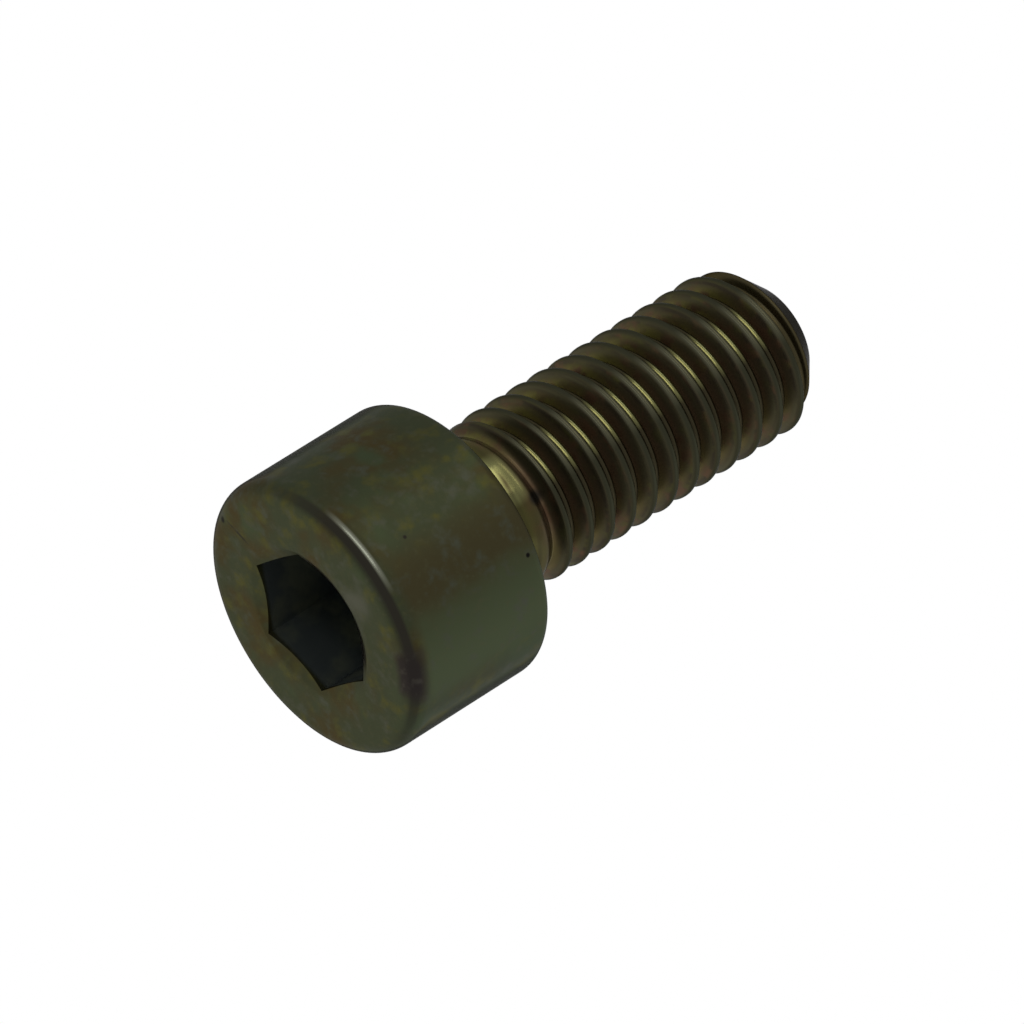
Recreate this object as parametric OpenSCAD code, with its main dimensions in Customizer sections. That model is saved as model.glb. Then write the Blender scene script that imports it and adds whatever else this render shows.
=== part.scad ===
// Hex socket cap screw, M8 x 1.25, threaded to the head, standing on its head.
// Origin: centre of the flat front face of the head. +Z runs along the axis, from the
// head towards the tip. All sizes in millimetres.

/* [Head] */

// diameter of the smooth round head
head_d = 13; // [12:0.1:16]

// height of the head, from its front face to its bearing face
head_h = 8; // [7.6:0.1:10]

// radius of the rounding around the front face
front_edge_r = 0.9; // [0.3:0.1:1.2]

// radius of the rounding around the bearing face
bearing_edge_r = 0.5; // [0.2:0.1:1]

/* [Socket] */

// width of the six-sided socket across its flats
socket_af = 6.04; // [5:0.02:6.2]

// depth of the socket's flat walls below the front face
socket_depth = 4.5; // [3:0.1:4.7]

// how far the cone around the socket's mouth reaches past its corners
mouth_margin = 0.15; // [0.05:0.05:0.4]

// slope of the mouth's cone, measured from the front face
mouth_slope = 25; // [15:1:45]

// width of the flat ledge left around the drilled cone in the socket's floor
floor_ledge = 0.3; // [0.1:0.1:1]

// slope of the drilled cone, measured from the socket's floor
floor_slope = 30; // [10:1:35]

/* [Thread] */

// length from the bearing face to the tip
shank_len = 19.2; // [10:0.1:40]

// largest diameter of the thread, over its crests
thread_d = 7.88; // [7.6:0.02:8]

// distance from one thread crest to the next along the axis
pitch = 1.25; // [0.8:0.05:1.5]

// how far the rolled crests stay short of the full metric profile
crest_trim = 0.06; // [0:0.01:0.1]

// length over which the thread grows to its full depth out of the neck
run_in = 1.5; // [0.5:0.1:4]

// turn of the thread about the axis, against the corners of the socket
thread_turn = 230; // [0:5:355]

// length along the axis of the bevel at the tip
tip_bevel = 1.5; // [0.6:0.1:2.4]

// slope of the tip's bevel, measured from the axis
tip_slope = 45; // [25:1:50]

/* [Neck] */

// how much thinner than the thread the plain neck under the head is
neck_step = 0.8; // [0.6:0.05:1.2]

// length of the plain neck, with its fillet
neck_len = 1.8; // [1.2:0.1:3]

// radius of the fillet between the neck and the bearing face
fillet_r = 0.6; // [0.3:0.1:1]

/* [Hidden] */

$fn = 96;

// the profile of a metric thread: 60 degree flanks, an eighth of the pitch flat on the crest,
// and a depth of 17/24 of the sharp triangle's height, with its crests trimmed
thread_depth = pitch * sqrt(3) / 2 * 17 / 24 - crest_trim;
crest_w = pitch / 8 + 2 * crest_trim * tan(30);
flank_w = thread_depth * tan(30);
root_w = pitch - crest_w - 2 * flank_w;

// how much deeper the round root is at its middle than at its sides
root_sag = root_w / 6;

// heights of the bearing face, the end of the neck and the tip
bearing_z = head_h;
neck_z = bearing_z + neck_len;
tip_z = bearing_z + shank_len;

// radii of the head, the neck, the socket's corners, its mouth and its drilled cone
head_r = head_d / 2;
neck_r = (thread_d - neck_step) / 2;
corner_r = socket_af / sqrt(3);
mouth_r = corner_r + mouth_margin;
drill_r = socket_af / 2 - floor_ledge;

// how far a cutting piece reaches past the face that it opens
bite = 1;

// the thread stands on the end of the neck, this far inside its edge
foot_inset = 0.01;
foot_r = neck_r - foot_inset;

// points of one pitch of the thread's profile: offset along the axis, depth below the crest
stations = [
    [0, 0],
    [crest_w, 0],
    [crest_w + flank_w, thread_depth],
    [crest_w + flank_w + root_w / 2, thread_depth + root_sag],
    [crest_w + flank_w + root_w, thread_depth]
];
rows_a_turn = len(stations);

// columns of points around the thread
columns = 60;

// rows of points keep this far from the two end planes, so that no triangle is a sliver
end_gap = root_w / 8;

// rows enough to reach past both ends of the thread, from one turn below the neck's end
row_count = rows_a_turn * (ceil((shank_len - neck_len) / pitch) + 3);

// height of row j in column i: a turn of columns climbs one pitch, as in a right-hand thread
function row_z(i, j) =
    neck_z + pitch * (i / columns - thread_turn / 360 + floor(j / rows_a_turn) - 1)
    + stations[j % rows_a_turn][0];

// radius of the tip's bevel at height z
function bevel_r(z) = thread_d / 2 - max(0, z - (tip_z - tip_bevel)) * tan(tip_slope);

// radius of row j at height z: the profile's own, grown out of the neck and cut by the bevel
function row_r(j, z) =
    let (own = thread_d / 2 - stations[j % rows_a_turn][1],
         grown = min(1, (z - neck_z) / run_in))
    min(neck_r + (own - neck_r) * grown, bevel_r(z));

// the lowest and the highest row that lie inside the threaded length in column i
function first_row(i) = min([for (j = [0:row_count - 1]) if (row_z(i, j) > neck_z + end_gap) j]);
function last_row(i) = max([for (j = [0:row_count - 1]) if (row_z(i, j) < tip_z - end_gap) j]);

// the turned outline of the head, its edges, the fillet and the neck
module head_and_neck() {
    rotate_extrude()
    polygon(concat(
        [[0, 0]],
        [for (a = [0:10:90]) [
            head_r - front_edge_r * (1 - sin(a)),
            front_edge_r * (1 - cos(a))]],
        [for (a = [0:10:90]) [
            head_r - bearing_edge_r * (1 - cos(a)),
            bearing_z - bearing_edge_r * (1 - sin(a))]],
        [for (a = [0:10:90]) [
            neck_r + fillet_r * (1 - sin(a)),
            bearing_z + fillet_r * (1 - cos(a))]],
        [[neck_r, neck_z], [0, neck_z]]
    ));
}

// six flat walls, a shallow cone around the mouth and a drilled cone in the floor
module socket() {
    translate([0, 0, -bite])
        cylinder(h = socket_depth + bite, r = corner_r, $fn = 6);
    translate([0, 0, -bite])
        cylinder(h = bite + mouth_r * tan(mouth_slope),
                 r1 = mouth_r + bite / tan(mouth_slope), r2 = 0);
    translate([0, 0, socket_depth - bite])
        cylinder(h = bite, r = drill_r);
    translate([0, 0, socket_depth])
        cylinder(h = drill_r * tan(floor_slope), r1 = drill_r, r2 = 0);
}

// one closed skin: each column of points climbs its rows of the helix from the neck to the
// tip, and neighbouring columns are joined row by row
module thread() {
    firsts = [for (i = [0:columns - 1]) first_row(i)];
    lasts = [for (i = [0:columns - 1]) last_row(i)];
    // where each column's points start in the list: its foot, its rows, its top
    starts = [for (i = 0, n = 0; i <= columns;
                   n = n + (i < columns ? lasts[i] - firsts[i] + 3 : 0), i = i + 1) n];
    points = [for (i = [0:columns - 1]) let (a = 360 * i / columns)
        each concat(
            [[foot_r * cos(a), foot_r * sin(a), neck_z]],
            [for (j = [firsts[i]:lasts[i]])
                let (z = row_z(i, j), r = row_r(j, z)) [r * cos(a), r * sin(a), z]],
            [[bevel_r(tip_z) * cos(a), bevel_r(tip_z) * sin(a), tip_z]])];
    // the point of row j in column i; the last column is the first one, a turn of rows later
    function at(i, j) = i < columns
        ? starts[i] + 1 + j - firsts[i]
        : starts[0] + 1 + j + rows_a_turn - firsts[0];
    function foot(i) = starts[i % columns];
    function top(i) = starts[i % columns + 1] - 1;
    faces = concat(
        [[for (i = [0:columns - 1]) foot(i)]],
        [[for (i = [columns - 1:-1:0]) top(i)]],
        [for (i = [0:columns - 1])
            let (n = i + 1,
                 low = n < columns ? firsts[n] : firsts[0] - rows_a_turn,
                 high = n < columns ? lasts[n] : lasts[0] - rows_a_turn)
            each concat(
                [[foot(i), at(n, low), foot(n)]],
                [for (j = [low:1:firsts[i] - 1]) [foot(i), at(n, j + 1), at(n, j)]],
                [[foot(i), at(i, firsts[i]), at(n, firsts[i])]],
                [for (j = [firsts[i]:1:high - 1]) each [
                    [at(i, j), at(i, j + 1), at(n, j)],
                    [at(i, j + 1), at(n, j + 1), at(n, j)]]],
                [[top(n), at(n, high), at(i, high)]],
                [for (j = [high:1:lasts[i] - 1]) [top(n), at(i, j), at(i, j + 1)]],
                [[top(n), at(i, lasts[i]), top(i)]])]
    );
    polyhedron(points = points, faces = faces, convexity = 4);
}

module cap_screw() {
    color([0.27, 0.26, 0.17]) {
        difference() {
            head_and_neck();
            socket();
        }
        thread();
    }
}

cap_screw();
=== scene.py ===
# %% [markdown]
# # A hexagon socket cap screw, dressed for the camera
#
# The real object is one piece of steel. Its head and socket are forged cold, its thread is rolled, and
# the whole screw is then zinc plated and passivated, which gives the dull olive skin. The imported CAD
# model already has the sizes, so this lesson only adds what a machinist's drawing leaves out: the soft
# crests of a rolled thread, its gentle start at the neck, and the finish. The steps are: load the
# model, place the camera, turn the head, roll the thread, join both into one skin, give it its finish,
# and light it.

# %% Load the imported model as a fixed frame
import math

import bmesh
import bpy
from mathutils import Euler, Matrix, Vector


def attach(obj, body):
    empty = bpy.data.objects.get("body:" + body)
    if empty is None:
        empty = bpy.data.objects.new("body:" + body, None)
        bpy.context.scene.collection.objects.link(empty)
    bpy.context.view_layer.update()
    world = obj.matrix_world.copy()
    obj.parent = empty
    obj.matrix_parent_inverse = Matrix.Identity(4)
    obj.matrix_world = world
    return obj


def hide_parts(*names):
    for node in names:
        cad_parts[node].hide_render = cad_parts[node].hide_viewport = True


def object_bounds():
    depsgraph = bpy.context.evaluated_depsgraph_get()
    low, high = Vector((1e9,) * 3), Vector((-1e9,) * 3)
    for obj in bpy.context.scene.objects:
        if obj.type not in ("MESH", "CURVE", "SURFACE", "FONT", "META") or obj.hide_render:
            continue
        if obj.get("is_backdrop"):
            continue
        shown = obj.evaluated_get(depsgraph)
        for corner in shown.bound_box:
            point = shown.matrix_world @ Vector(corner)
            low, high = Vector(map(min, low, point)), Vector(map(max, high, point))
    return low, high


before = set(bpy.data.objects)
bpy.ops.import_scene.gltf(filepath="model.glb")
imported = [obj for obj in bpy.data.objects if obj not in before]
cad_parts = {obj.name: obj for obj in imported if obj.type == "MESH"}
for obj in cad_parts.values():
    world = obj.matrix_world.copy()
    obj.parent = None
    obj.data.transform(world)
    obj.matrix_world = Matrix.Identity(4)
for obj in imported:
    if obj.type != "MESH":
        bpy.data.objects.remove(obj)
cad_low, cad_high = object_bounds()
print("CAD box in mm:", [round(1000 * v, 3) for v in (*cad_low, *cad_high)])

# %% [markdown]
# ## The sizes
#
# A dressed part keeps the drawing's sizes, so they are written down once, in millimetres, and every step
# reads them. Blender works in metres, and `MM` turns one into the other. The screw stands on the flat
# front face of its head, with its axis along Z and its tip up. Three sizes come first, because others
# are worked out from them: the head's height, the socket's width and the diameter over the thread.

# %% Sizes of the screw
MM = 0.001
HEAD_HEIGHT, ACROSS_FLATS, THREAD_DIAMETER = 8.0, 6.04, 7.88
SIZE = {
    "head radius": 6.5,
    "head height": HEAD_HEIGHT,
    "front edge radius": 0.9,
    "bearing edge radius": 0.5,
    "socket across flats": ACROSS_FLATS,
    "socket depth": 4.5,
    "mouth radius": ACROSS_FLATS / math.sqrt(3) + 0.15,
    "mouth slope": math.radians(25),
    "drill radius": ACROSS_FLATS / 2 - 0.3,
    "drill slope": math.radians(30),
    "fillet radius": 0.6,
    "neck radius": (THREAD_DIAMETER - 0.8) / 2,
    "neck end": HEAD_HEIGHT + 1.8,
    "thread radius": THREAD_DIAMETER / 2,
    "pitch": 1.25,
    "crest trim": 0.06,
    "run-in": 1.5,
    "thread turn": 230 / 360,
    "tip": HEAD_HEIGHT + 19.2,
    "bevel length": 1.5,
    "bevel slope": math.radians(45),
}
COLUMNS = 144  # points around the axis; a multiple of six, so that each corner of the socket has one
print(len(SIZE), "sizes; length over all", SIZE["tip"], "mm,", COLUMNS, "columns")

# %% [markdown]
# ## The camera
#
# The photograph looks at the front of the head from one side and from below the face that the screw
# stands on, through a long lens. A long lens keeps the far end of the screw nearly as large as the near
# end, so the camera stands half a metre away. Its place and turn were found by matching the outline, and
# are simply written down here.

# %% Place the camera
CAMERA_PLACE = (155.34, -409.29, -252.44)  # millimetres
CAMERA_TURN = (138.611, -46.526, -18.759)  # degrees about X, Y and Z
LENS = 421.875  # millimetres, on a 36 mm sensor

camera_data = bpy.data.cameras.new("camera")
camera_data.lens = LENS
camera_data.sensor_width = 36
camera_data.clip_start, camera_data.clip_end = 0.02, 20
camera = bpy.data.objects.new("camera", camera_data)
camera.location = Vector(CAMERA_PLACE) * MM
camera.rotation_euler = Euler([math.radians(a) for a in CAMERA_TURN])
bpy.context.collection.objects.link(camera)
bpy.context.scene.camera = camera
print("camera", round(camera.location.length, 3), "m from the front face")

# %% [markdown]
# ## One helper for all node trees
#
# Geometry Nodes and materials are both built from nodes. One small function adds a node, sets it and
# wires it: a value that is a node or a socket becomes a link, and anything else becomes the socket's own
# value.

# %% A function that adds a node
def add(tree, kind, links=None, **settings):
    made = tree.nodes.new(kind)
    for name, value in settings.items():
        setattr(made, name, value)
    for key, value in (links or {}).items():
        if isinstance(value, bpy.types.Node):
            value = value.outputs[0]
        if isinstance(value, bpy.types.NodeSocket):
            tree.links.new(value, made.inputs[key])
        else:
            made.inputs[key].default_value = value
    return made


print("helper ready")

# %% [markdown]
# ## The head
#
# A cap screw's head is forged in a round die, so its outside is a turned shape: it could be spun from one
# outline. Its socket is not round, though, and the shallow cone around the mouth cuts the six walls in
# six small arcs. So the head is made as a stack of rings, each with its own radius and height in every
# column: a plain ring has one of each, and a ring of the socket follows the hexagon.

# %% Helpers for the rings
def hexagon(angle):
    """Distance from the axis to the socket's wall in this direction."""
    return SIZE["socket across flats"] / 2 / math.cos(angle % (math.pi / 3) - math.pi / 6)


def arc(centre_r, centre_z, radius, start, end, steps):
    """Rings along part of a circle, without its first one; in degrees, 0 outwards and 90 up."""
    turns = [math.radians(start + (end - start) * k / steps) for k in range(1, steps + 1)]
    return [(centre_r + radius * math.cos(t), centre_z + radius * math.sin(t)) for t in turns]


def line(start, end, steps):
    """Rings along a straight stretch, without its first one."""
    return [
        tuple(a + (b - a) * k / steps for a, b in zip(start, end)) for k in range(1, steps + 1)
    ]


print("the socket's corners lie", round(hexagon(0), 2), "mm from the axis")

# %% Rings of the socket, from the middle of its floor to its mouth
ANGLES = [2 * math.pi * c / COLUMNS for c in range(COLUMNS)]
WALLS = [hexagon(a) for a in ANGLES]
BRINKS = [(SIZE["mouth radius"] - w) * math.tan(SIZE["mouth slope"]) for w in WALLS]
FLOOR_STEPS, WALL_STEPS, MOUTH_STEPS = 8, 12, 4  # rings along each stretch of the socket


def socket_rings():
    """The drilled cone, the ledge, the six walls and the cone at the mouth."""
    depth, drill = SIZE["socket depth"], SIZE["drill radius"]
    point = depth + drill * math.tan(SIZE["drill slope"])
    for r, z in line((0, point), (drill, depth), FLOOR_STEPS):
        yield [(r, z)] * COLUMNS
    yield [((drill + w) / 2, depth) for w in WALLS]
    for k in range(WALL_STEPS + 1):
        yield [(w, depth + (b - depth) * k / WALL_STEPS) for w, b in zip(WALLS, BRINKS)]
    for k in range(1, MOUTH_STEPS + 1):
        out = k / MOUTH_STEPS
        yield [
            (w + (SIZE["mouth radius"] - w) * out, b * (1 - out)) for w, b in zip(WALLS, BRINKS)
        ]


print("rings of the socket:", len(list(socket_rings())))

# %% Rings of the outside, from the mouth of the socket to the end of the neck
def outer_rings():
    """The front face, the barrel with its two rounded edges, the bearing face and the neck."""
    head, height = SIZE["head radius"], SIZE["head height"]
    front, back = SIZE["front edge radius"], SIZE["bearing edge radius"]
    neck, fillet = SIZE["neck radius"], SIZE["fillet radius"]
    profile = line((SIZE["mouth radius"], 0), (head - front, 0), steps=6)
    profile += arc(head - front, front, front, start=-90, end=0, steps=18)
    profile += line((head, front), (head, height - back), steps=16)
    profile += arc(head - back, height - back, back, start=0, end=90, steps=12)
    profile += line((head - back, height), (neck + fillet, height), steps=5)
    profile += arc(neck + fillet, height + fillet, fillet, start=-90, end=-180, steps=14)
    profile += line((neck, height + fillet), (neck, SIZE["neck end"]), steps=5)
    for r, z in profile:
        yield [(r, z)] * COLUMNS


print("rings of the outside:", len(list(outer_rings())))

# %% A skin through the rings
def skin(name, rings, pole):
    """A mesh through the rings, closed by a fan to the pole at its first ring."""
    points = [(0, 0, pole * MM)]
    for ring in rings:
        points += [
            (r * math.cos(a) * MM, r * math.sin(a) * MM, z * MM) for a, (r, z) in zip(ANGLES, ring)
        ]
    count = (len(points) - 1) // COLUMNS
    faces = [(0, 1 + c, 1 + (c + 1) % COLUMNS) for c in range(COLUMNS)]
    for k in range(count - 1):
        low, high = 1 + k * COLUMNS, 1 + (k + 1) * COLUMNS
        faces += [
            (low + c, high + c, high + (c + 1) % COLUMNS, low + (c + 1) % COLUMNS)
            for c in range(COLUMNS)
        ]
    mesh = bpy.data.meshes.new(name)
    mesh.from_pydata(points, [], faces)
    return mesh


socket_floor = SIZE["socket depth"] + SIZE["drill radius"] * math.tan(SIZE["drill slope"])
head_mesh = skin("head", [*socket_rings(), *outer_rings()], socket_floor)
print("head:", len(head_mesh.polygons), "faces")

# %% [markdown]
# ## The thread
#
# A thread is rolled between two grooved dies, and its shape follows one rule: climb one pitch for each
# turn. It could be made with a Screw modifier, but that can't fade the thread out of the neck or cut
# it off at the tip. A Geometry Nodes tree can: it bends a flat grid around the axis, lifts each column
# by its share of a pitch, and then sets each point's radius by the thread's rule. The crests are well
# rounded, as rolling leaves them. The roots are nearly flat, because a flat root catches a lamp in one
# clear line, as the photograph shows it.

# %% Start the tree that rolls the thread, with its named inputs
flank_slope = math.tan(math.radians(30))
# the metric profile: a crest an eighth of the pitch wide, and 17/24 of the sharp triangle's height
crest_width = SIZE["pitch"] / 8 + 2 * SIZE["crest trim"] * flank_slope
thread_depth = SIZE["pitch"] * math.sqrt(3) / 2 * 17 / 24 - SIZE["crest trim"]
PITCHES = 17  # enough to reach past both ends of the thread
ROWS_A_PITCH = 24
SAME_POINT = 0.002 * MM  # points closer than this become one
THREAD_INPUTS = {
    "Points around": COLUMNS + 1,
    "Points along": ROWS_A_PITCH * PITCHES + 1,
    "Pitches": PITCHES,
    "Pitch": SIZE["pitch"] * MM,
    "Crest radius": SIZE["thread radius"] * MM,
    "Half crest": crest_width / 2 * MM,
    "Depth": thread_depth * MM,
    "Flank slope": flank_slope,
    "Crest rounding": 0.18 * MM,
    "Root rounding": 0.03 * MM,
    "Neck radius": SIZE["neck radius"] * MM,
    "Start": SIZE["neck end"] * MM,
    "Run-in": SIZE["run-in"] * MM,
    "Gentleness": 2.2,
    "Turn": SIZE["thread turn"],
    "Tip": SIZE["tip"] * MM,
    "Bevel start": (SIZE["tip"] - SIZE["bevel length"]) * MM,
    "Bevel slope": math.tan(SIZE["bevel slope"]),
    "Bevel rounding": 0.3 * MM,
    "Same point": SAME_POINT,
}
roll = bpy.data.node_groups.new("rolled_thread", "GeometryNodeTree")
for name, value in THREAD_INPUTS.items():
    kind = "NodeSocketInt" if isinstance(value, int) else "NodeSocketFloat"
    roll.interface.new_socket(name, in_out="INPUT", socket_type=kind)
roll.interface.new_socket("Finish", in_out="INPUT", socket_type="NodeSocketMaterial")
roll.interface.new_socket("Thread", in_out="OUTPUT", socket_type="NodeSocketGeometry")
known = {socket.name: socket for socket in add(roll, "NodeGroupInput").outputs}
print("thread tree inputs:", ", ".join(THREAD_INPUTS))

# %% A flat grid: X runs once around the screw, and Y runs up along it
grid_size = {"Size X": 1.0, "Size Y": 1.0}
grid_points = {"Vertices X": known["Points around"], "Vertices Y": known["Points along"]}
grid = add(roll, "GeometryNodeMeshGrid", {**grid_size, **grid_points})
flat = add(roll, "ShaderNodeSeparateXYZ", {0: add(roll, "GeometryNodeInputPosition")})
known["across"], known["up"] = flat.outputs["X"], flat.outputs["Y"]
print("grid:", THREAD_INPUTS["Points around"], "by", THREAD_INPUTS["Points along"], "points")

# %% The thread's rule, one sum a line: its name, what is done, and the values it is done to
RULE = [
    # where a point stands: its share of the turn, the pitches it has climbed, its height
    ("share", "ADD", "across", 0.5),
    ("lift", "ADD", "up", 0.5),
    ("climb", "MULTIPLY", "lift", "Pitches"),
    ("pitches up", "ADD", "share", "climb"),
    ("turned", "SUBTRACT", "pitches up", "Turn"),
    ("raised", "SUBTRACT", "turned", 1.0),
    ("free height", "MULTIPLY_ADD", "raised", "Pitch", "Start"),
    ("not too low", "MAXIMUM", "free height", "Start"),
    ("height", "MINIMUM", "not too low", "Tip"),
    # how deep it lies below the crest, with both corners of the profile rounded
    ("crest share", "DIVIDE", "Half crest", "Pitch"),
    ("past crest", "SUBTRACT", "climb", "crest share"),
    ("from crest", "PINGPONG", "past crest", 0.5),
    ("along", "MULTIPLY", "from crest", "Pitch"),
    ("off crest", "SUBTRACT", "along", "Half crest"),
    ("flank", "DIVIDE", "off crest", "Flank slope"),
    ("rounded", "SMOOTH_MAX", "flank", 0.0, "Crest rounding"),
    ("deep", "SMOOTH_MIN", "rounded", "Depth", "Root rounding"),
    ("own radius", "SUBTRACT", "Crest radius", "deep"),
    # how far it has grown out of the neck
    ("past start", "SUBTRACT", "height", "Start"),
    ("growth", "DIVIDE", "past start", "Run-in"),
    ("full", "MINIMUM", "growth", 1.0),
    ("grown", "POWER", "full", "Gentleness"),
    ("gain", "SUBTRACT", "own radius", "Neck radius"),
    ("threaded", "MULTIPLY_ADD", "gain", "grown", "Neck radius"),
    # how much of it the bevel at the tip leaves
    ("to bevel", "SUBTRACT", "Bevel start", "height"),
    ("cone", "MULTIPLY_ADD", "to bevel", "Bevel slope", "Crest radius"),
    ("radius", "SMOOTH_MIN", "threaded", "cone", "Bevel rounding"),
    # the same point bent around the axis
    ("angle", "MULTIPLY", "share", 2 * math.pi),
    ("cosine", "COSINE", "angle"),
    ("sine", "SINE", "angle"),
    ("x", "MULTIPLY", "radius", "cosine"),
    ("y", "MULTIPLY", "radius", "sine"),
]
for name, operation, *terms in RULE:
    terms = {k: known[t] if isinstance(t, str) else t for k, t in enumerate(terms)}
    known[name] = add(roll, "ShaderNodeMath", terms, operation=operation)
print("rule wired:", len(RULE), "sums")

# %% Bend the grid by the rule, close it and give it its finish
bent = add(roll, "ShaderNodeCombineXYZ", {"X": known["x"], "Y": known["y"], "Z": known["height"]})
moved = add(roll, "GeometryNodeSetPosition", {"Geometry": grid, "Position": bent})
same = {"Geometry": moved, "Distance": known["Same point"]}
closed = add(roll, "GeometryNodeMergeByDistance", same)
real = add(roll, "GeometryNodeRealizeInstances", {"Geometry": closed})
worn = add(roll, "GeometryNodeSetMaterial", {"Geometry": real, "Material": known["Finish"]})
add(roll, "NodeGroupOutput", {"Thread": worn})
print("thread tree ready:", len(roll.nodes), "nodes")

# %% Names for the two finishes, made in full further down
head_finish = bpy.data.materials.new("matt_passivated_zinc_on_forged_steel")
thread_finish = bpy.data.materials.new("passivated_zinc_on_rolled_thread")
print("finishes:", head_finish.name, "and", thread_finish.name)

# %% Run the tree, and keep its result as a plain mesh
roller = bpy.data.objects.new("thread_roller", bpy.data.meshes.new("thread_roller"))
bpy.context.collection.objects.link(roller)
modifier = roller.modifiers.new("roll", "NODES")
modifier.node_group = roll
for item in roll.interface.items_tree:
    if item.in_out == "INPUT":
        modifier[item.identifier] = THREAD_INPUTS.get(item.name, thread_finish)
graph = bpy.context.evaluated_depsgraph_get()
thread_mesh = bpy.data.meshes.new_from_object(roller.evaluated_get(graph), depsgraph=graph)
roller.modifiers.remove(modifier)
bpy.data.objects.remove(roller)
print("thread:", len(thread_mesh.polygons), "faces")

# %% [markdown]
# ## The tip
#
# The end of a rolled screw is a flat left by shearing the wire. It is a fan of rings from the middle
# out to the bevel, made with the same function as the head.

# %% The flat end
tip_radius = SIZE["thread radius"] - SIZE["bevel length"] * math.tan(SIZE["bevel slope"])
tip_line = line((0, SIZE["tip"]), (tip_radius, SIZE["tip"]), steps=5)
tip_rings = [[(r, z)] * COLUMNS for r, z in tip_line]
tip_mesh = skin("tip", tip_rings, SIZE["tip"])
print("tip: flat of", round(2 * tip_radius, 2), "mm")

# %% [markdown]
# ## One skin
#
# The screw is one piece, so the head, the thread and the tip become one closed mesh: doubled points
# are merged first, and the faces are then turned outwards. Edges that are really sharp, such as those
# of the socket, are marked, and everything else is shaded smooth. The finish changes just above the
# bearing face, so the fillet and the neck shine like the thread.

# %% Join, merge and shade
SHARP = math.radians(30)  # an edge that bends more than this stays an edge
SLIVER = 0.0005 * MM  # faces thinner than this are removed
finish_seam = (SIZE["head height"] + 0.02) * MM

screw_mesh = bpy.data.meshes.new("cap_screw_skin")
screw_mesh.materials.append(head_finish)
screw_mesh.materials.append(thread_finish)
joined = bmesh.new()
for part in (head_mesh, thread_mesh, tip_mesh):
    joined.from_mesh(part)
for face in joined.faces:
    face.material_index = int(face.calc_center_median().z > finish_seam)
    face.smooth = True
bmesh.ops.remove_doubles(joined, verts=joined.verts, dist=SAME_POINT)
bmesh.ops.dissolve_degenerate(joined, edges=joined.edges, dist=SLIVER)
bmesh.ops.recalc_face_normals(joined, faces=joined.faces)
open_edges = [e for e in joined.edges if len(e.link_faces) != 2]
for edge in joined.edges:
    if len(edge.link_faces) == 2 and edge.calc_face_angle() > SHARP:
        middle = (edge.verts[0].co + edge.verts[1].co) / 2
        if middle.z < SIZE["neck end"] * MM:
            edge.smooth = False
volume = joined.calc_volume(signed=True) / MM ** 3
joined.to_mesh(screw_mesh)
joined.free()
screw = bpy.data.objects.new("cap_screw_skin", screw_mesh)
bpy.context.collection.objects.link(screw)
screw_mesh.calc_loop_triangles()
print("screw:", len(screw_mesh.loop_triangles), "triangles,", round(volume, 1), "cubic mm")
print("open edges:", len(open_edges))

# %% [markdown]
# ## Colours
#
# Colours are written as the sRGB hex values that a picture editor shows. Blender's sockets want linear
# light, so one function turns them.

# %% From hex to linear
def colour(code):
    parts = [int(code[k:k + 2], 16) / 255 for k in (1, 3, 5)]
    return (*[v / 12.92 if v <= 0.04045 else ((v + 0.055) / 1.055) ** 2.4 for v in parts], 1)


print("olive in linear light:", [round(v, 4) for v in colour("#38392a")[:3]])

# %% [markdown]
# ## Masks
#
# A worn finish is many colours over each other, and each one shows only in its own place. That place is
# a mask, a number from 0 to 1. Four kinds are enough here: bands between two heights or two distances
# from the axis, sides of the round screw, soft patches of noise, and single spots. All of them are
# measured in millimetres from the screw's own origin, so they stay on the metal when the screw moves.

# %% Places on the screw, in millimetres
def empty_tree(owner):
    owner.use_nodes = True
    owner.node_tree.nodes.clear()
    return owner.node_tree


def places(tree):
    """Where a spot lies, its height, its distance from the axis and the way it looks outwards."""
    metres = add(tree, "ShaderNodeTexCoord").outputs["Object"]
    here = add(tree, "ShaderNodeVectorMath", {0: metres, "Scale": 1 / MM}, operation="SCALE")
    level = add(tree, "ShaderNodeVectorMath", {0: here, 1: (1, 1, 0)}, operation="MULTIPLY")
    off_axis = add(tree, "ShaderNodeVectorMath", {0: level}, operation="LENGTH").outputs["Value"]
    outwards = add(tree, "ShaderNodeVectorMath", {0: level}, operation="NORMALIZE")
    return here, add(tree, "ShaderNodeSeparateXYZ", {0: here}).outputs["Z"], off_axis, outwards


print("a material can ask where it is, in units of", MM, "m")

# %% Bands and sides
def bands(tree, table):
    """A mask for each row of the table: 0 at its first number and 1 at its second."""
    masks = {}
    for name, (value, none, full) in table.items():
        reach = {"Value": value, "From Min": none, "From Max": full}
        masks[name] = add(tree, "ShaderNodeMapRange", reach, label=name)
    return masks


def side(tree, outwards, azimuth, full, none):
    """1 on the side of the screw that looks this way, and 0 beyond; all in degrees."""
    turn = math.radians(azimuth)
    way = (math.cos(turn), math.sin(turn), 0)
    likeness = add(tree, "ShaderNodeVectorMath", {0: outwards, 1: way}, operation="DOT_PRODUCT")
    edges = {"From Min": math.cos(math.radians(none)), "From Max": math.cos(math.radians(full))}
    return add(
        tree,
        "ShaderNodeMapRange",
        {"Value": likeness.outputs["Value"], **edges},
        interpolation_type="SMOOTHSTEP",
    )


print("bands and sides ready")

# %% Patches and spots
def patches(tree, here, millimetres, low, high, seed):
    """Soft patches about this far apart: 0 where the noise is below low, 1 where it is above high."""
    noise = add(
        tree,
        "ShaderNodeTexNoise",
        {"Vector": here, "W": seed, "Scale": 1 / millimetres, "Detail": 3.0, "Roughness": 0.55},
        noise_dimensions="4D",
    )
    return add(
        tree,
        "ShaderNodeMapRange",
        {"Value": noise, "From Min": low, "From Max": high},
        interpolation_type="SMOOTHSTEP",
    )


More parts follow.
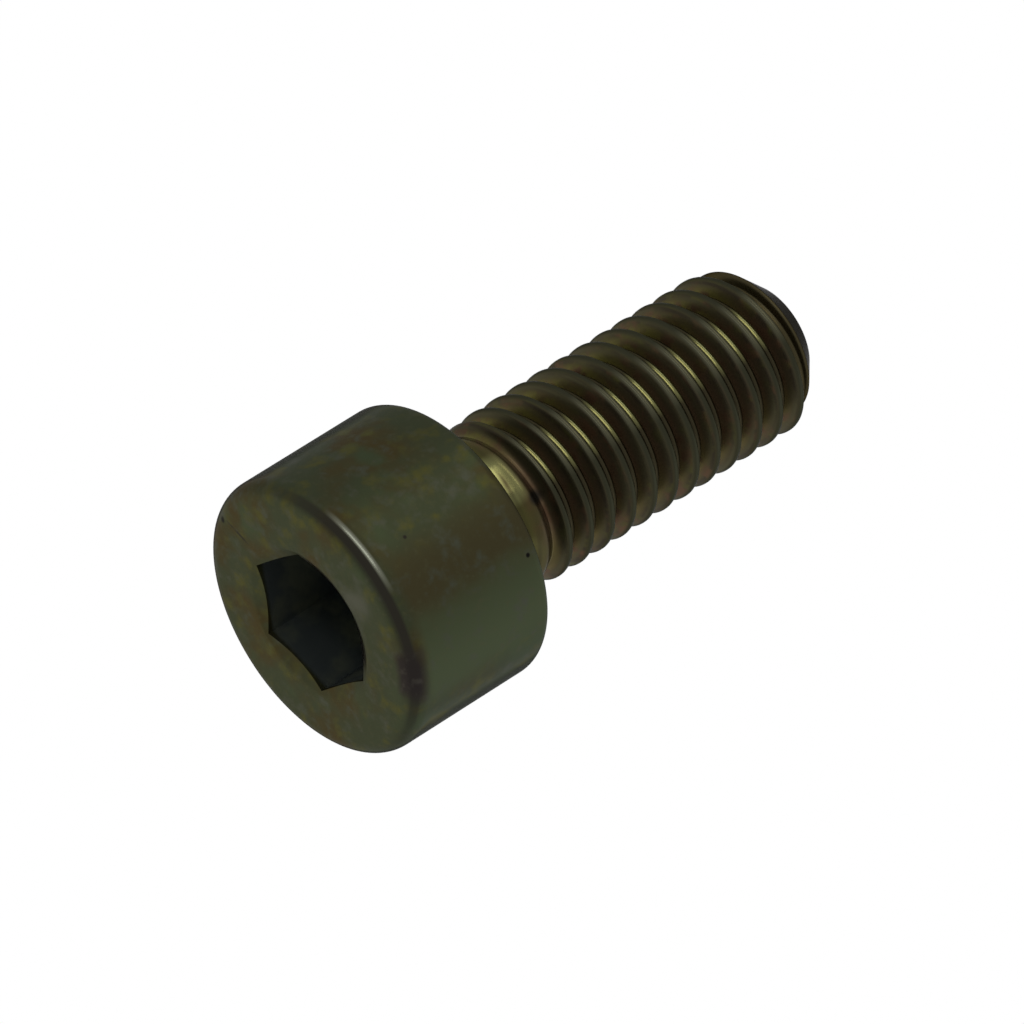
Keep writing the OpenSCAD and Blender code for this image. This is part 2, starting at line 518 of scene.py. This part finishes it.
def spot(tree, here, centre, full, none, squeeze=(1, 1, 1)):
    """1 within this many millimetres of a place, and 0 beyond; a squeeze below 1 makes it longer."""
    apart = add(tree, "ShaderNodeVectorMath", {0: here, 1: centre}, operation="SUBTRACT")
    scaled = add(tree, "ShaderNodeVectorMath", {0: apart, 1: squeeze}, operation="MULTIPLY")
    distance = add(tree, "ShaderNodeVectorMath", {0: scaled}, operation="LENGTH")
    return add(
        tree,
        "ShaderNodeMapRange",
        {"Value": distance.outputs["Value"], "From Min": none, "From Max": full},
        interpolation_type="SMOOTHSTEP",
    )


print("patches and spots ready")

# %% Masks together, and colours through them
def both(tree, first, *others):
    """Where all of these masks overlap."""
    for other in others:
        first = add(tree, "ShaderNodeMath", {0: first, 1: other}, operation="MULTIPLY")
    return first


def either(tree, first, *others):
    """Where any of these masks is."""
    for other in others:
        first = add(tree, "ShaderNodeMath", {0: first, 1: other}, operation="MAXIMUM")
    return first


def layered(tree, lowest, layers):
    """Colours laid over each other, each through its mask."""
    for name, mask, over in layers:
        blend = {0: mask, 6: lowest, 7: colour(over)}
        lowest = add(tree, "ShaderNodeMix", blend, data_type="RGBA", label=name).outputs[2]
    return lowest


print("layers ready")

# %% [markdown]
# ## The light at the edges
#
# Where a metal is seen at a glancing angle it turns as white as the tent around it. The fine roughness
# of a passivated skin holds that back, and the photograph shows no pale edges. So the tint of the edge
# light is strong on a surface that slants, and falls to little where the surface turns away. Layer
# Weight tells the one from the other: its Facing value is 0 towards the eye and 1 at the very edge.

# %% A tint that falls towards the edges
GLARE_FADES, GLARE_GONE = 0.72, 0.88  # values of Facing
LEAST_GLARE = 0.12


def glare(tree, slanting):
    """The tint of the edge light: this much on a slanting surface, and the least at the edge."""
    facing = add(tree, "ShaderNodeLayerWeight", {"Blend": 0.5}).outputs["Facing"]
    reach = {"Value": facing, "From Min": GLARE_FADES, "From Max": GLARE_GONE}
    return add(tree, "ShaderNodeMapRange", {**reach, "To Min": slanting, "To Max": LEAST_GLARE})


print("edge light fades between facing", GLARE_FADES, "and", GLARE_GONE)

# %% [markdown]
# ## The finish of the head
#
# Forged steel comes out of the die slightly rough, and zinc with a passivation over it stays dull. The
# colour is in the thin passivation, which is olive where it is thick, brown or green in patches where it
# is thinner, and grey where it is thinnest. On the barrel a painted brown shade and a painted green sheen
# follow the light around it. Part of the light is scattered in that skin, so the finish isn't quite all
# metal. Handling has smoothed the front edge, which carries a painted dark reflection with one painted
# highlight streak along it, and a dark scuff beside it. The front face has a painted highlight spot. The
# grain is drawn about twice as coarse as the real one, so that it shows.

# %% Wear and painted light on the head: azimuths in degrees, places and radii in millimetres
# azimuths of the barrel's painted brown shade and painted green sheen, and of the painted highlights
PAINTED_SHADE_SIDE, PAINTED_SHEEN_SIDE, PAINTED_HIGHLIGHT_SIDE = -56, -30, -83
# the azimuth of the front edge's painted dark reflection, and that of the scuff
PAINTED_REFLECTION_SIDE, SCUFF_SIDE = -62, -26
# a painted highlight on the front face
PAINTED_HIGHLIGHT_SPOT = (1.9, -3.9, 0)
SCRATCH = (-4.85, -0.8, 0)
PITS = [
    # the centre, the radius of the full colour, the radius where it ends, and the colour
    ((4.42, -4.77, 7.31), 0.06, 0.14, "#0c0b0a"),
    ((-5.84, -0.57, 0.03), 0.08, 0.2, "#151410"),
    ((1.40, -6.35, 2.45), 0.05, 0.12, "#201e19"),
]
WAVE, WAVES_A_MM = 1.2, 0.7  # how far the edge of a painted band, the painted highlight spot or the scuff wanders, and how often
GRAINS_A_MM = 4.5  # about half as many as on the real head
print("the head has a painted highlight spot, a scratch, a scuff and", len(PITS), "pits")

# %% Masks of the head
head_tree = empty_tree(head_finish)
here, height, off_axis, outwards = places(head_tree)
band = bands(head_tree, {
    "barrel": (height, 0.6, 1.2),
    "band starts": (height, 0.06, 0.2),
    "band ends": (height, 0.52, 0.4),
    "streak starts": (height, 0.40, 0.49),
    "streak ends": (height, 0.67, 0.58),
    "scuff ends": (height, 1.0, 0.5),
    "scuff keeps to the edge": (off_axis, 5.4, 5.8),
    "inside the mouth": (off_axis, 3.62, 3.5),
    "below the mouth": (height, 0.3, 0.5),
})
waves = add(head_tree, "ShaderNodeTexNoise", {"Vector": here, "Scale": WAVES_A_MM, "Detail": 2.0})
shifted = add(head_tree, "ShaderNodeVectorMath", {0: here, 1: (WAVE / 2,) * 3}, operation="SUBTRACT")
wavy = add(
    head_tree,
    "ShaderNodeVectorMath",
    {0: waves.outputs["Color"], 1: (WAVE,) * 3, 2: shifted},
    operation="MULTIPLY_ADD",
)
wavy_level = add(head_tree, "ShaderNodeVectorMath", {0: wavy, 1: (1, 1, 0)}, operation="MULTIPLY")
wavy_outwards = add(head_tree, "ShaderNodeVectorMath", {0: wavy_level}, operation="NORMALIZE")
# the barrel's light and shade by azimuth, painted into its colour: a painted brown shade and a painted
# green sheen
brown = both(head_tree, band["barrel"], side(head_tree, wavy_outwards, PAINTED_SHADE_SIDE, 4, 24))
green = both(head_tree, band["barrel"], side(head_tree, wavy_outwards, PAINTED_SHEEN_SIDE, 6, 26))
# on the smoothed front edge: a band painted dark as a reflection, and a streak painted light as a
# highlight
dark_reflection_side = side(head_tree, outwards, PAINTED_REFLECTION_SIDE, 15, 85)
smooth_band_painted_dark = both(head_tree, band["band ends"], band["band starts"], dark_reflection_side)
highlight_side_of_edge = side(head_tree, outwards, PAINTED_HIGHLIGHT_SIDE, 6, 22)
smooth_streak_painted_highlight = both(head_tree, highlight_side_of_edge, band["streak starts"], band["streak ends"])
scuff_side = side(head_tree, wavy_outwards, SCUFF_SIDE, 3, 15)
scuff = both(head_tree, scuff_side, band["scuff ends"], band["scuff keeps to the edge"])
scuff_specks = both(head_tree, scuff, patches(head_tree, here, 0.5, 0.5, 0.7, seed=3))
in_socket = both(head_tree, band["inside the mouth"], band["below the mouth"])
socket_stains = both(head_tree, in_socket, patches(head_tree, here, 2.2, 0.44, 0.62, seed=7))
scratch = both(
    head_tree,
    spot(head_tree, here, SCRATCH, 0.04, 0.09, squeeze=(0.1, 1, 1)),
    patches(head_tree, here, 0.5, 0.35, 0.55, seed=5),
)
print("masks of the head:", len(head_tree.nodes), "nodes")

# %% Dull olive zinc on the head
HEAD_LAYERS = [
    ("brown patches", patches(head_tree, here, 4.0, 0.45, 0.62, seed=0), "#352e19"),
    ("green patches", patches(head_tree, here, 3.0, 0.5, 0.66, seed=1), "#313826"),
    ("yellow stains", patches(head_tree, here, 1.1, 0.5, 0.72, seed=2), "#3d3c1d"),
    # painted brown shade and painted green sheen on the barrel, by azimuth
    ("painted brown shade", brown, "#34301e"),
    ("painted green sheen", green, "#363c29"),
    ("grey clouds", patches(head_tree, here, 0.7, 0.5, 0.75, seed=8), "#383a2f"),
    ("fine mottling", patches(head_tree, here, 0.3, 0.5, 0.95, seed=4), "#3b3b29"),
    ("dark specks", patches(head_tree, here, 0.5, 0.72, 0.77, seed=9), "#25231c"),
    # a painted highlight on the front face
    ("painted highlight spot", spot(head_tree, wavy, PAINTED_HIGHLIGHT_SPOT, 0.2, 1.2), "#3f4036"),
    # painted dark reflection and painted highlight streak on the smoothed front edge
    ("smooth band, painted dark reflection", smooth_band_painted_dark, "#25231d"),
    ("painted highlight streak", smooth_streak_painted_highlight, "#5b5c50"),
    ("scuff", scuff, "#231f1d"),
    ("scuff specks", scuff_specks, "#302d28"),
    ("socket", in_socket, "#454b4a"),
    ("socket stains", socket_stains, "#5c6052"),
    ("scratch", scratch, "#26241c"),
]
for centre, full, none, code in PITS:
    HEAD_LAYERS.append(("pit", spot(head_tree, here, centre, full, none), code))
smooth_metal = either(head_tree, smooth_band_painted_dark, smooth_streak_painted_highlight)
roughness = {"Value": smooth_metal, "To Min": 0.46, "To Max": 0.22}
grain = add(head_tree, "ShaderNodeTexNoise", {"Vector": here, "Scale": GRAINS_A_MM, "Detail": 2.0})
relief = {"Height": grain, "Strength": 0.12, "Distance": 0.01 * MM}
dull = add(
    head_tree,
    "ShaderNodeBsdfPrincipled",
    {
        "Base Color": layered(head_tree, colour("#2f3323"), HEAD_LAYERS),
        "Metallic": 0.9,
        "Specular Tint": glare(head_tree, slanting=0.47),
        "Roughness": add(head_tree, "ShaderNodeMapRange", roughness),
        "Normal": add(head_tree, "ShaderNodeBump", relief),
    },
)
add(head_tree, "ShaderNodeOutputMaterial", {"Surface": dull})
print(head_finish.name, len(head_tree.nodes), "nodes")

# %% [markdown]
# ## The finish of the thread
#
# Rolling burnishes the roots and the neck, so the same plating lies on smoother steel there, and each
# root catches the light in one bright line like brass. On the side where the key lamp's lines fall, the
# roots, crests and neck also carry a painted highlight; elsewhere the roots' dark colour is painted
# shade.
# The crests are bare of most of the passivation and look grey, and the flanks keep more of it, which is
# brown and scatters the light. On the flanks, painted shade lies just below each crest and a painted
# brown shade on one side, and yellow stains are kept to another side as a painted reflection. The
# distance from the axis tells a crest from a flank and a flank from a root. The dies also leave fine
# lines along
# the thread: they come from a noise that changes quickly with the distance from the axis and slowly
# along the helix.

# %% Wear and painted light on the thread: azimuths in degrees, the rest in millimetres
# azimuths of the yellow stains' painted reflection and of the painted brown shade
YELLOW_REFLECTION_SIDE, PAINTED_SHADE_SIDE_OF_THREAD = -142, -60
SMUDGE = (1.76, -3.07, 10.7)
LINES_A_MM = 0.3  # how often the fine lines change along the thread
ACROSS, UPWARDS = 10.0, 6.0  # how many times as often with the radius and with the height
BEADS_A_MM = 5.0  # the fine unevenness of the plating, also drawn coarser than it is
crest_radius = SIZE["thread radius"]
bevel_start = SIZE["tip"] - SIZE["bevel length"]
print("the smudge lies", round(SMUDGE[2] - SIZE["neck end"], 2), "mm past the neck")

# %% Masks of the thread
thread_tree = empty_tree(thread_finish)
here, height, off_axis, outwards = places(thread_tree)
by_radius = add(thread_tree, "ShaderNodeMath", {0: off_axis, 1: ACROSS}, operation="MULTIPLY")
climb = {0: height, 1: UPWARDS, 2: by_radius}
by_both = add(thread_tree, "ShaderNodeMath", climb, operation="MULTIPLY_ADD")
lines = add(
    thread_tree,
    "ShaderNodeTexNoise",
    {"Vector": here, "W": by_both, "Scale": LINES_A_MM, "Detail": 1.0},
    noise_dimensions="4D",
)
band = bands(thread_tree, {
    "neck": (height, SIZE["neck end"] + 0.8, SIZE["neck end"]),
    "bevel": (height, bevel_start - 0.3, bevel_start),
    "before the bevel": (height, bevel_start, bevel_start - 0.3),
    "root": (off_axis, crest_radius - 0.61, crest_radius - 0.66),
    "near the crest": (off_axis, crest_radius - 0.54, crest_radius - 0.19),
    "below the edge": (off_axis, crest_radius - 0.01, crest_radius - 0.11),
    "crest": (off_axis, crest_radius - 0.14, crest_radius - 0.01),
    "streaks": (lines, 0.42, 0.65),
})
root = both(thread_tree, band["root"], band["before the bevel"])
burnished = either(thread_tree, root, band["neck"])
metal = either(thread_tree, burnished, either(thread_tree, band["crest"], band["bevel"]))
# yellow stains, kept to one side as a painted reflection
yellow_reflection_side = side(thread_tree, outwards, YELLOW_REFLECTION_SIDE, 12, 40)
# a painted brown shade on the flanks of one side
painted_brown_shade = side(thread_tree, outwards, PAINTED_SHADE_SIDE_OF_THREAD, 10, 50)
# the side where the key lamp's lines fall, lightened there as a painted highlight
painted_highlight_side = side(thread_tree, outwards, PAINTED_HIGHLIGHT_SIDE, 8, 24)
yellow = both(thread_tree, yellow_reflection_side, patches(thread_tree, here, 0.8, 0.4, 0.55, seed=6))
olive = both(thread_tree, patches(thread_tree, here, 1.0, 0.5, 0.66, seed=1), band["near the crest"])
# painted shade on the flank just below each crest
painted_shade_below_crest = both(thread_tree, band["near the crest"], band["below the edge"])
print("masks of the thread:", len(thread_tree.nodes), "nodes")

# %% Shinier zinc on the thread
THREAD_LAYERS = [
    # yellow stains kept to one side, which paints a reflection there
    ("yellow stains", yellow, "#545026"),
    # a painted brown shade on the flanks of one side
    ("painted brown shade", painted_brown_shade, "#4c3e2d"),
    # painted shade below the crest
    ("painted shade below the crest", painted_shade_below_crest, "#2c271c"),
    ("brown stains", patches(thread_tree, here, 1.3, 0.5, 0.64, seed=0), "#443324"),
    ("olive stains", olive, "#3b391f"),
    ("lines of the dies", both(thread_tree, band["streaks"], band["near the crest"]), "#393625"),
    # the root's dark colour is painted shade
    ("root", root, "#2f2b1e"),
    # on the side that faces the key lamp, the root carries a painted highlight
    ("root, painted highlight", both(thread_tree, painted_highlight_side, root), "#5e5d3b"),
    ("crest", band["crest"], "#2c2c21"),
    # a painted highlight on the crest, on the key lamp's side
    ("crest, painted highlight", both(thread_tree, painted_highlight_side, band["crest"]), "#414032"),
    ("neck", band["neck"], "#3b391f"),
    # a painted highlight on the neck, on the key lamp's side
    ("neck, painted highlight", both(thread_tree, painted_highlight_side, band["neck"]), "#77784e"),
    ("neck, lines", both(thread_tree, band["neck"], band["streaks"]), "#2c281a"),
    ("smudge", spot(thread_tree, here, SMUDGE, 0.2, 0.5), "#1f1c16"),
    ("bevel", band["bevel"], "#3a3524"),
]
metallic = {"Value": metal, "To Min": 0.75, "To Max": 0.95}
roughness = {"Value": burnished, "To Min": 0.34, "To Max": 0.2}
slanting = {"Value": band["bevel"], "To Min": 0.45, "To Max": 0.2}
beads = add(thread_tree, "ShaderNodeTexNoise", {"Vector": here, "Scale": BEADS_A_MM, "Detail": 2.0})
relief = {"Height": beads, "Strength": 0.1, "Distance": 0.01 * MM}
shiny = add(
    thread_tree,
    "ShaderNodeBsdfPrincipled",
    {
        "Base Color": layered(thread_tree, colour("#4c4427"), THREAD_LAYERS),
        "Metallic": add(thread_tree, "ShaderNodeMapRange", metallic),
        "Specular IOR Level": 0.2,
        "Specular Tint": glare(thread_tree, add(thread_tree, "ShaderNodeMapRange", slanting)),
        "Roughness": add(thread_tree, "ShaderNodeMapRange", roughness),
        "Normal": add(thread_tree, "ShaderNodeBump", relief),
    },
)
add(thread_tree, "ShaderNodeOutputMaterial", {"Surface": shiny})
print(thread_finish.name, len(thread_tree.nodes), "nodes")

# %% [markdown]
# ## The floor
#
# The screw stands on a sheet of pale matt paper, which scatters all light and shows only a soft
# shadow. The photograph looks up at the face it stands on, so the floor is drawn only where the camera
# sees it from above. There it keeps the screw's shadow. To every other ray it is clear, so that the
# light reaches the face from below.

# %% A pale floor that is seen only from above
REACH = 1.5  # metres, from the screw to the floor's edge
corners = [(-REACH, -REACH, 0), (REACH, -REACH, 0), (REACH, REACH, 0), (-REACH, REACH, 0)]
floor_mesh = bpy.data.meshes.new("floor")
floor_mesh.from_pydata(corners, [], [(0, 1, 2, 3)])
floor = bpy.data.objects.new("floor", floor_mesh)
bpy.context.collection.objects.link(floor)
paper = bpy.data.materials.new("pale_paper")
floor_mesh.materials.append(paper)
paper_tree = empty_tree(paper)
ray = add(paper_tree, "ShaderNodeLightPath").outputs
facet = add(paper_tree, "ShaderNodeNewGeometry").outputs
upper_side = {0: 1.0, 1: facet["Backfacing"]}
from_above = add(paper_tree, "ShaderNodeMath", upper_side, operation="SUBTRACT")
seen = both(paper_tree, ray["Is Camera Ray"], from_above)
matt = add(paper_tree, "ShaderNodeBsdfDiffuse", {"Color": colour("#ececea")})
clear = add(paper_tree, "ShaderNodeBsdfTransparent")
shown = add(paper_tree, "ShaderNodeMixShader", {0: seen, 1: clear, 2: matt})
add(paper_tree, "ShaderNodeOutputMaterial", {"Surface": shown})
print("floor at z = 0,", 2 * REACH, "m wide")

# %% [markdown]
# ## The light
#
# A white tent around a shiny part is the usual way to photograph it: the metal shows the tent, and
# soft lamps draw its edges. The world is the tent. To the camera and to mirrors it is plain white, and
# its light on everything else stays at a plain level. The key and the rim lamp are narrow and draw the
# bright lines on the front edge, the neck and the roots. The other three are wide and fill the sides.
# All five stand so far away that the whole floor lies in front of them, and none of them hides a part
# of it or stands in a view.

# %% The white tent
world = bpy.data.worlds.new("tent")
bpy.context.scene.world = world
tent = empty_tree(world)
ray = add(tent, "ShaderNodeLightPath").outputs
white_seen = either(tent, ray["Is Glossy Ray"], ray["Is Transmission Ray"], ray["Is Camera Ray"])
level = add(tent, "ShaderNodeMapRange", {"Value": white_seen, "To Min": 0.75, "To Max": 1.0})
air = add(tent, "ShaderNodeBackground", {"Color": (1, 1, 1, 1), "Strength": level})
add(tent, "ShaderNodeOutputWorld", {"Surface": air})
print("tent ready")

# %% Soft lamps
AIM = Vector((0, 0, 13 * MM))  # about half way up the screw
LAMP_DISTANCE = 2.4  # metres


def lamp(name, azimuth, elevation, width, height, watts, tone):
    """A soft lamp that looks at the screw; degrees as on a globe, metres, watts and a colour."""
    data = bpy.data.lights.new(name, "AREA")
    data.shape = "RECTANGLE"
    data.size, data.size_y = width, height
    data.energy = watts
    data.color = colour(tone)[:3]
    made = bpy.data.objects.new(name, data)
    a, e = math.radians(azimuth), math.radians(elevation)
    away = Vector((math.cos(a) * math.cos(e), math.sin(a) * math.cos(e), math.sin(e)))
    made.location = AIM + away * LAMP_DISTANCE
    made.rotation_euler = away.to_track_quat("Z", "Y").to_euler()
    bpy.context.collection.objects.link(made)
    print(name, "at", azimuth, "and", elevation, "degrees,", watts, "W")


# the key's lines on the roots, crests and neck, and the rim lamp's streak on the front edge, are also
# painted into the finishes as highlights
lamp("key", -97, 31, 1.6, 0.28, 7.0, "#fffaea")
lamp("rim", -97, -21, 1.44, 0.32, 8.0, "#f4f8ff")
lamp("side", 40, 31, 3.2, 3.2, 22.0, "#eef6ff")
lamp("back", 140, 31, 4.8, 2.0, 8.0, "#e8f0ff")
lamp("below", 111, -31, 3.6, 3.6, 29.0, "#fff8e6")

# %% [markdown]
# ## Hand over
#
# The skin rides on the part's only body and stands for the CAD solid. The boxes before and after tell
# whether the dressed screw kept the drawing's size.

# %% Hand over and finish
bpy.context.scene.view_settings.view_transform = "Standard"
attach(screw, "root")
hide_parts("cap_screw")
floor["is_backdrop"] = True
low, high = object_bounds()
growth = [round(1000 * (b - a), 3) for a, b in zip((*cad_low, *cad_high), (*low, *high))]
print("box grew by", growth, "mm")
